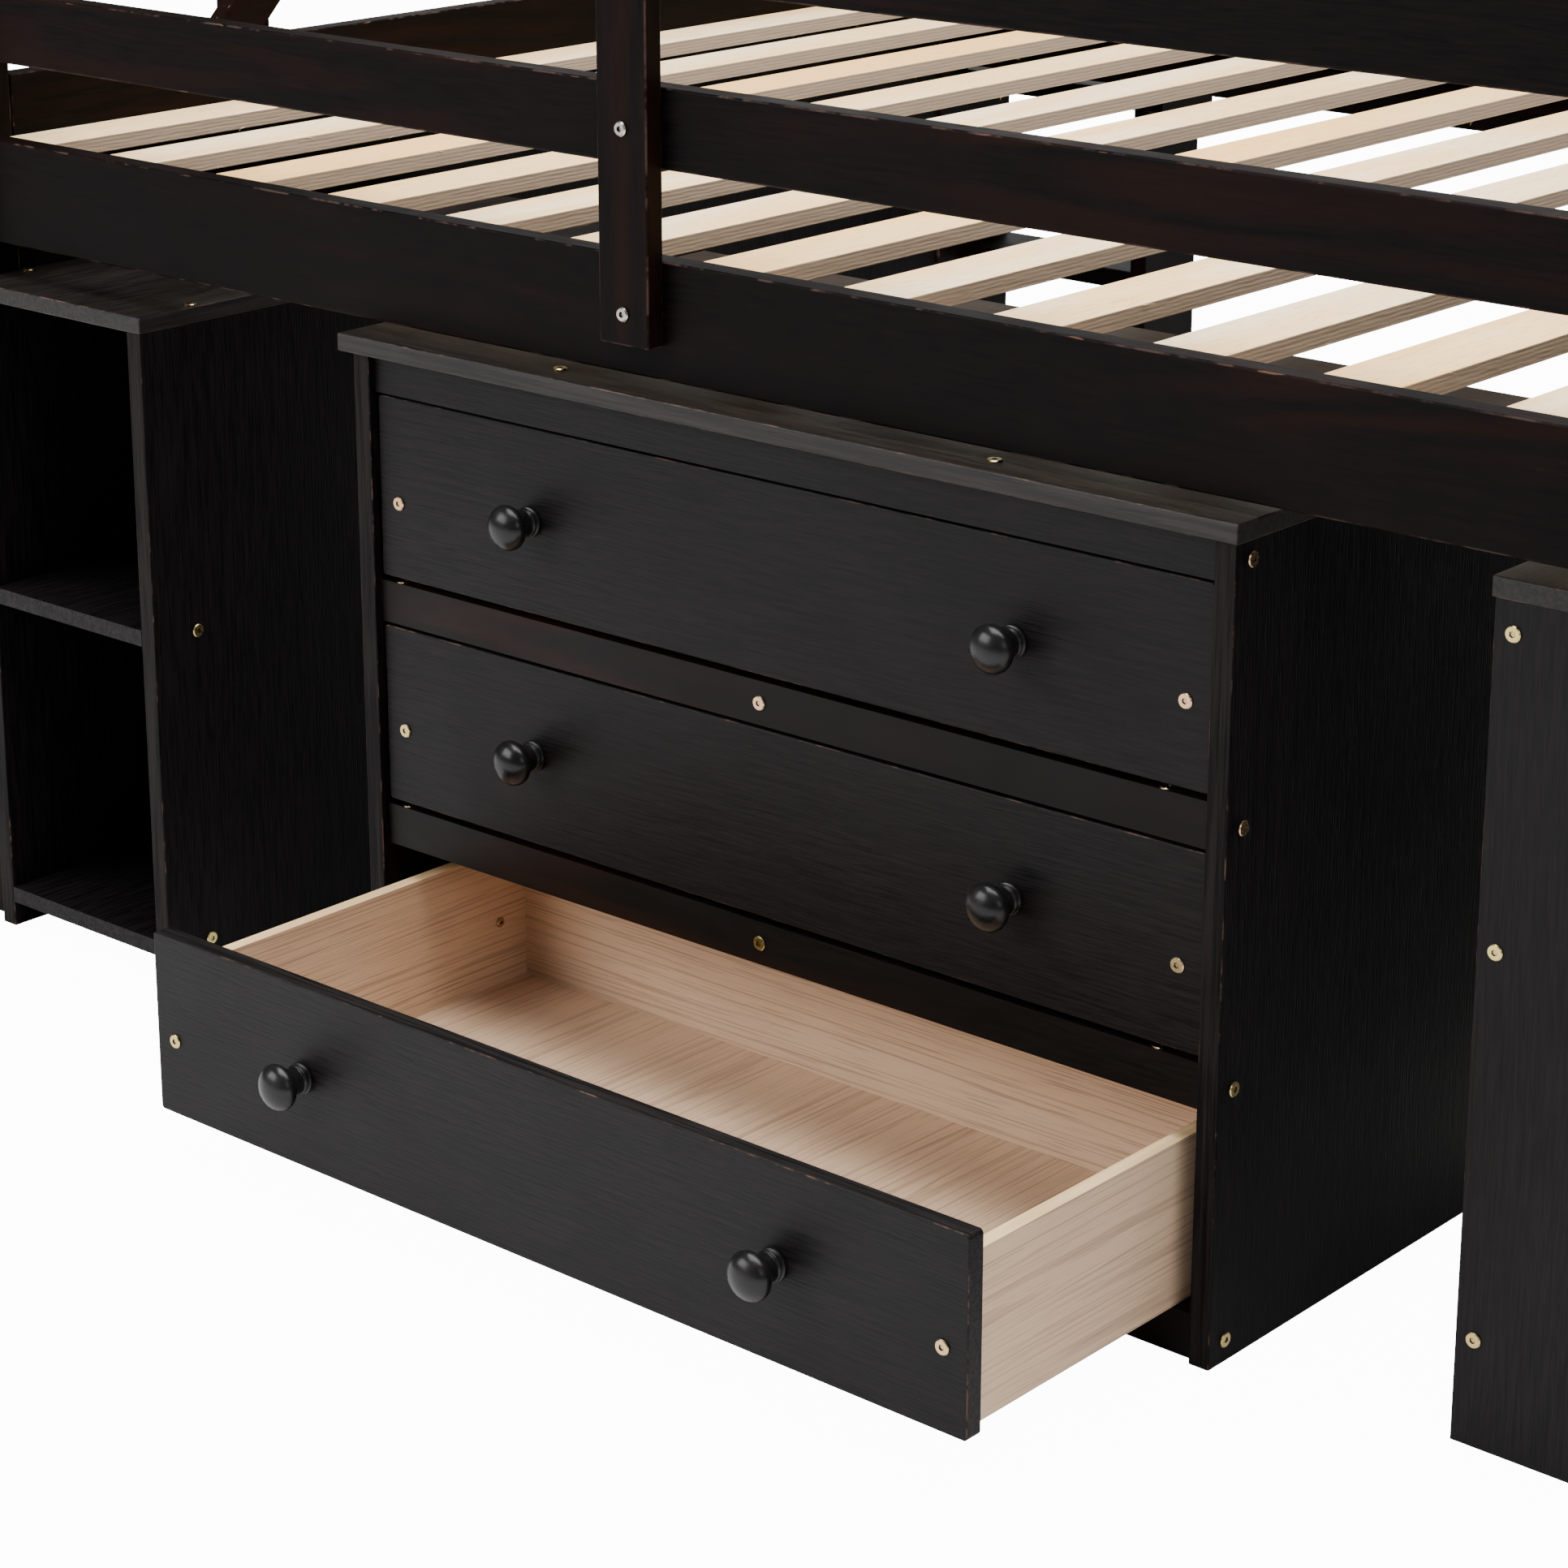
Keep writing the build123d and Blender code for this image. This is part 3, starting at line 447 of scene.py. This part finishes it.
def plated_zinc(name, bright, tinted):
    """Plated steel: a patchy passivated tint, fine tooling marks and painted shade in the driver sockets.
    """
    tint_scale = 6.0
    tooling_scale = 900.0
    socket_reach = 0.006
    finish, w, shader, place = grained_finish(name, "Z")
    tint = w.noise(place, tint_scale, detail=3.0, roughness=0.75).outputs[0]
    base = w.blend(w.step(tint, low=0.42, high=0.60), bright, tinted)
    # Painted shade: the colour darkens towards the socket shade where ambient occlusion finds the driver
    # sockets closed in
    open_sky = w.add("AmbientOcclusion", {"Distance": socket_reach}, samples=6).outputs["AO"]
    base = w.blend(w.step(open_sky, low=0.35, high=0.95), SOCKET_SHADE, base)
    w.feed(shader.inputs["Base Color"], base)
    shader.inputs["Metallic"].default_value = 1.0
    tooled = w.noise(place, tooling_scale, detail=2.0, roughness=0.6).outputs[0]
    w.feed(shader.inputs["Roughness"], w.scaled(tooled, amount=0.18, start=0.18))
    bump(w, shader, tooled, strength=0.15, distance=0.0002)
    return finish


def dress(finish, *names):
    """Puts one finish on every material slot of these nodes."""
    for name in names:
        for slot in nodes[name].material_slots:
            slot.material = finish
        if not nodes[name].material_slots:
            nodes[name].data.materials.append(finish)


# ---------------------------------------------------------------- finishes on the boards and fasteners
DRAWERS = ("drawer_1", "drawer_2", "drawer_3")


def each_drawer(part):
    """The node of one part of every drawer."""
    return [drawer + "_" + part for drawer in DRAWERS]


dress(stained_pine("pine_rails", "X"), "side_rail_front", "side_rail_back", "guard_rail_front_lower",
      "guard_rail_front_upper", "guard_rails_back", "ladder_treads", "ladder_batten")
dress(stained_pine("pine_ends", "Y"), "end_boards", "end_guards")
dress(stained_pine("pine_posts", "Z", wear=0.6), "post_front_left", "post_front_right", "post_back_left",
      "post_back_right", "guard_post_front", "guard_posts_back", "end_guard_posts", "ladder_stiles")
dress(stained_pine("pine_braces", "Y", wear=UNWORN), "end_braces")
dress(stained_pine("pine_chest_rails", "X", red=0.85, gloss=0.12, offset=(0.4, 0.2, 0.1)),
      "chest_rail_upper", "chest_rail_lower", "chest_rail_bottom")
dress(charcoal_board("charcoal_fronts", "X", "Y"), *each_drawer("front"), "chest_apron", "chest_back")
# The tops get a lighter, browner body colour: painted sheen
dress(charcoal_board("charcoal_chest_top_sheen", "X", "Z", gloss=0.25, body=BOARD_TOP_SHEEN), "chest_top")
dress(charcoal_board("charcoal_tops_sheen", "Y", "Z", gloss=0.25, body=BOARD_TOP_SHEEN), "bookcase_top", "desk_top")
dress(charcoal_board("charcoal_sides", "Z", "X", gloss=0.04), "chest_side_left", "chest_side_right",
      "bookcase_sides", "end_panel_left")
dress(charcoal_board("charcoal_ends", "Z", "Y"), "desk_ends", "bookcase_divider")
dress(charcoal_board("charcoal_shelves", "Y", "Z", gloss=0.10), "bookcase_shelves")
dress(charcoal_board("charcoal_long_panels", "Y", "X"), "desk_back", "desk_apron")
dress(drawer_box_board("oak_sides", "Y", raw_top=1.0), *each_drawer("sides"))
dress(drawer_box_board("oak_backs", "X", raw_top=1.0), *each_drawer("back"))
dress(drawer_box_board("oak_bottoms", "Y", raw_top=0.0), *each_drawer("bottom"))
dress(raw_pine("raw_pine_runners", "Y"), "drawer_runners")
dress(raw_pine("raw_pine_cleats", "X"), "slat_cleats")
dress(plated_zinc("yellow_zinc_plate", BRASS_ZINC, BRASS_ZINC_PINK), "chest_screws", "bookcase_screws",
      "desk_screws", *each_drawer("screws"))
dress(plated_zinc("silver_zinc_plate", GREY_ZINC, GREY_ZINC_DARK), "bed_bolts")

SLAT_COUNT = 14
SLAT_WIDTH = 0.062

slats_low, slats_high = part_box("slats")
slat_pitch = (slats_high.x - slats_low.x - SLAT_WIDTH) / (SLAT_COUNT - 1)
slat_half_gap = (slat_pitch - SLAT_WIDTH) / 2
slats_finish = birch_slats("birch_plywood", slats_low.x - slat_half_gap, slat_pitch, slats_low.z,
                           slats_high.z - slats_low.z)
dress(slats_finish, "slats")


# ---------------------------------------------------------------- new pieces
def new_piece(name, corners, faces, finish, body):
    """A smooth mesh piece from arrays of corners and faces, dressed, and riding on a body."""
    mesh = bpy.data.meshes.new(name)
    mesh.from_pydata(corners.tolist(), [], faces)
    mesh.update()
    mesh.shade_smooth()
    mesh.materials.append(finish)
    piece = bpy.data.objects.new(name, mesh)
    bpy.context.scene.collection.objects.link(piece)
    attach(piece, body)
    return piece


def ring_quads(rings, sides):
    """Quads between neighbouring rings of corners, where a ring's corners follow each other round."""
    ring, side = np.meshgrid(np.arange(rings - 1), np.arange(sides), indexing="ij")
    after = (side + 1) % sides
    quads = np.stack([ring * sides + side, ring * sides + after,
                      (ring + 1) * sides + after, (ring + 1) * sides + side], axis=-1)
    return quads.reshape(-1, 4)


# ---------------------------------------------------------------- turned knobs
KNOB_SIDES = 48
KNOB_HEAD_RINGS = 16
KNOB_FINENESS = 3

# A knob's rings from its foot to the widest ring of its head, as shares of its radius and its length
KNOB_FOOT_DISC = [(0.62, 0.000), (0.675, 0.004), (0.684, 0.014), (0.684, 0.066), (0.672, 0.080)]
KNOB_GROOVE = [(0.590, 0.098), (0.586, 0.108)]
KNOB_BEAD = [(0.638, 0.130), (0.652, 0.152), (0.636, 0.176)]
KNOB_NECK = [(0.580, 0.200), (0.572, 0.235), (0.566, 0.300), (0.568, 0.360), (0.578, 0.420)]
KNOB_FLARE = [(0.606, 0.462), (0.670, 0.488), (0.800, 0.520), (0.915, 0.566), (0.980, 0.620),
              (1.000, 0.671)]


def knob_profile(radius, length):
    """Radius and height along a knob from its foot to just short of its tip. The rings of the foot disc,
    groove, bead, neck and flare are joined by straight lines with about three points to a ring, and each
    point between the first and the last is eased to half of itself and a quarter of each neighbour. The
    head is a quarter ellipse: its radius is the cosine of one turning angle, and its height goes on by the
    sine."""
    rings = np.array(KNOB_FOOT_DISC + KNOB_GROOVE + KNOB_BEAD + KNOB_NECK + KNOB_FLARE)
    along = np.arange(len(rings))
    fine = np.linspace(0, len(rings) - 1, KNOB_FINENESS * len(rings))
    turned = np.column_stack([np.interp(fine, along, rings[:, 0]), np.interp(fine, along, rings[:, 1])])
    eased = turned.copy()
    eased[1:-1] = (turned[:-2] + 2 * turned[1:-1] + turned[2:]) / 4
    head_start = rings[-1, 1]
    angle = np.linspace(0, math.pi / 2, KNOB_HEAD_RINGS + 2)[1:-1]
    head = np.column_stack([np.cos(angle), head_start + (1 - head_start) * np.sin(angle)])
    outline = np.vstack([eased, head])
    return outline[:, 0] * radius, outline[:, 1] * length


def turned_pair(name, node, body, finish):
    """The two knobs of one drawer. Each corner is the knob's foot, plus its ring's radius times the cosine
    of the turn along X and the sine along Z, less its ring's height along Y. Quads join neighbouring rings,
    and a fan closes the foot and the tip."""
    low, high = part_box(node)
    radius = (high.z - low.z) / 2
    middle_z = (low.z + high.z) / 2
    ring_radius, ring_height = knob_profile(radius, high.y - low.y)
    rings = len(ring_radius)
    turn = np.arange(KNOB_SIDES) * 2 * math.pi / KNOB_SIDES
    side = np.arange(KNOB_SIDES)
    after = (side + 1) % KNOB_SIDES
    foot_point = rings * KNOB_SIDES
    tip_ring = (rings - 1) * KNOB_SIDES
    quads = ring_quads(rings, KNOB_SIDES)
    foot = np.column_stack([np.full(KNOB_SIDES, foot_point), after, side])
    tip = np.column_stack([np.full(KNOB_SIDES, foot_point + 1), tip_ring + side, tip_ring + after])
    corners, faces = [], []
    for number, foot_x in enumerate((low.x + radius, high.x - radius)):
        x = foot_x + ring_radius[:, None] * np.cos(turn)[None, :]
        y = high.y - np.repeat(ring_height[:, None], KNOB_SIDES, axis=1)
        z = middle_z + ring_radius[:, None] * np.sin(turn)[None, :]
        ends = np.array([(foot_x, high.y, middle_z), (foot_x, low.y, middle_z)])
        corners.append(np.vstack([np.column_stack([x.ravel(), y.ravel(), z.ravel()]), ends]))
        start = number * (foot_point + 2)
        faces += (quads + start).tolist() + (foot + start).tolist() + (tip + start).tolist()
    piece = new_piece(name, np.vstack(corners), faces, finish, body)
    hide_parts(node)


knob_finish = black_lacquer("knob_lacquer")
for drawer in DRAWERS:
    turned_pair(drawer + "_turned_knobs", drawer + "_knobs", drawer, knob_finish)


# ---------------------------------------------------------------- splinters on the slats
SPLINTER_COUNT = 170
SPLINTER_SEED = 11
SPLINTER_RINGS = 4
SPLINTER_SIDES = 3
SPLINTER_LENGTH = (0.003, 0.011)
SPLINTER_THICKNESS = (0.00018, 0.0004)
SPLINTER_LAST_RING = 0.85
SPLINTER_LEAN = (0.15, 0.8)
SPLINTER_DROOP = (-0.25, 0.45)
UPPER_EDGE_SHARE = 0.3
SLAT_END_MARGIN = 0.03
SLAT_ARRIS = 0.0012


def slat_splinters():
    """Raw fibres lifted from the slats' edges. Each is a needle of four rings of three corners and a point:
    its spine starts on the edge and runs along Y by s, leans away from the slat by s squared and droops by
    s squared, and its rings shrink to nothing at the point."""
    draw = np.random.default_rng(SPLINTER_SEED)
    count = SPLINTER_COUNT
    slat = draw.integers(0, SLAT_COUNT, count)
    edge = draw.integers(0, 2, count)
    upper = draw.random(count) < UPPER_EDGE_SHARE
    length = draw.uniform(*SPLINTER_LENGTH, count)
    way = np.where(draw.random(count) < 0.5, -1.0, 1.0)
    out = draw.uniform(*SPLINTER_LEAN, count) * np.where(edge == 1, 1.0, -1.0)
    drop = draw.uniform(*SPLINTER_DROOP, count)
    foot_x = slats_low.x + slat * slat_pitch + edge * SLAT_WIDTH
    foot_y = draw.uniform(slats_low.y + SLAT_END_MARGIN, slats_high.y - SLAT_END_MARGIN, count)
    foot_z = np.where(upper, slats_high.z - SLAT_ARRIS, slats_low.z + SLAT_ARRIS)
    thick = draw.uniform(*SPLINTER_THICKNESS, count)

    s = np.linspace(0, SPLINTER_LAST_RING, SPLINTER_RINGS)[None, :, None]
    turn = (np.arange(SPLINTER_SIDES) * 2 * math.pi / SPLINTER_SIDES)[None, None, :]
    spread = thick[:, None, None] * (1 - s)
    reach = length[:, None, None]
    x = foot_x[:, None, None] + reach * out[:, None, None] * s ** 2 + spread * np.cos(turn)
    y = foot_y[:, None, None] + reach * way[:, None, None] * s + 0 * turn
    z = foot_z[:, None, None] - reach * drop[:, None, None] * s ** 2 + spread * np.sin(turn)
    point_number = SPLINTER_RINGS * SPLINTER_SIDES
    rings = np.stack([x, y, z], axis=-1).reshape(count, point_number, 3)
    point = np.stack([foot_x + length * out, foot_y + length * way, foot_z - length * drop], axis=-1)
    corners = np.concatenate([rings, point[:, None, :]], axis=1)

    side = np.arange(SPLINTER_SIDES)
    last = point_number - SPLINTER_SIDES
    tips = np.column_stack([np.full(SPLINTER_SIDES, point_number), last + side,
                            last + (side + 1) % SPLINTER_SIDES])
    foot = side[None, ::-1]
    starts = (np.arange(count) * (point_number + 1))[:, None, None]
    faces = (ring_quads(SPLINTER_RINGS, SPLINTER_SIDES)[None] + starts).reshape(-1, 4).tolist()
    faces += (tips[None] + starts).reshape(-1, 3).tolist() + (foot[None] + starts).reshape(-1, 3).tolist()
    new_piece("slat_splinters", corners.reshape(-1, 3), faces, slats_finish, "bed")


slat_splinters()


# ---------------------------------------------------------------- floor and studio
FLOOR_HALF_SIZE = 30.0
FLOOR_GLOW = 16.0
FLOOR_GLOW_SHARE = 0.8
SKY_LIGHT = 0.14
SKY_GLOW = 15.0


def seen_by_camera(w):
    """One on what the camera sees straight on, and nothing on what lights or mirrors see."""
    return w.add("LightPath").outputs["Is Camera Ray"]


def pale_floor():
    """A wide floor in matt pale paint that also glows to the camera, so that it shows plain white."""
    half = FLOOR_HALF_SIZE
    mesh = bpy.data.meshes.new("floor")
    mesh.from_pydata([(-half, -half, 0), (half, -half, 0), (half, half, 0), (-half, half, 0)], [],
                     [(0, 1, 2, 3)])
    floor = bpy.data.objects.new("floor", mesh)
    bpy.context.scene.collection.objects.link(floor)
    finish, w, paint = blank_finish("floor_paint")
    paint.inputs["Base Color"].default_value = FLOOR_PAINT
    paint.inputs["Roughness"].default_value = 0.9
    paint.inputs["Specular IOR Level"].default_value = 0.1
    glow = w.add("Emission", {"Color": WHITE, "Strength": FLOOR_GLOW})
    share = w.number("MULTIPLY", seen_by_camera(w), FLOOR_GLOW_SHARE)
    mixed = w.add("MixShader", {0: share, 1: paint.outputs[0], 2: glow.outputs[0]})
    w.feed(finish.node_tree.nodes["Material Output"].inputs["Surface"], mixed.outputs[0])
    mesh.materials.append(finish)


def white_studio():
    """White surroundings that give little light and that show plain white behind the bed."""
    world = bpy.data.worlds.new("studio")
    bpy.context.scene.world = world
    world.use_nodes = True
    w = Wiring(world.node_tree)
    sky = world.node_tree.nodes["Background"]
    sky.inputs["Color"].default_value = WHITE
    w.feed(sky.inputs["Strength"], w.scaled(seen_by_camera(w), amount=SKY_GLOW, start=SKY_LIGHT))


def soft_box(name, place, target, width, height, power):
    """A rectangular soft box at a place, turned to face a target."""
    lamp = bpy.data.lights.new(name, "AREA")
    lamp.shape = "RECTANGLE"
    lamp.size = width
    lamp.size_y = height
    lamp.energy = power
    holder = bpy.data.objects.new(name, lamp)
    bpy.context.scene.collection.objects.link(holder)
    away = np.array(place) - np.array(target)
    flat = math.hypot(away[0], away[1])
    holder.location = place
    holder.rotation_euler = (math.atan2(flat, away[2]), 0, math.atan2(away[0], -away[1]))


pale_floor()
white_studio()
soft_box("key_box", place=(-2.4, -4.4, 2.7), target=(0.0, -0.4, 0.45), width=3.2, height=2.4, power=228)
soft_box("top_box", place=(0.3, -0.2, 4.2), target=(0.1, 0.1, 0.0), width=4.0, height=3.4, power=540)
soft_box("side_box", place=(4.4, -2.6, 2.4), target=(0.2, -0.2, 0.4), width=2.0, height=1.6, power=28)
soft_box("back_box", place=(-3.4, 4.6, 1.9), target=(0.0, 0.4, 0.6), width=4.0, height=2.2, power=38)

# ---------------------------------------------------------------- camera
camera_tilt_down = math.radians(16.61)
camera_heading = math.radians(41.14)
camera_data = bpy.data.cameras.new("camera")
camera_data.lens = 88.65
camera_data.sensor_width = 36.0
camera_data.shift_y = -0.12
camera = bpy.data.objects.new("camera", camera_data)
bpy.context.scene.collection.objects.link(camera)
camera.location = (1.8693, -2.7426, 1.3485)
camera.rotation_euler = (math.pi / 2 - camera_tilt_down, 0, camera_heading)
bpy.context.scene.camera = camera
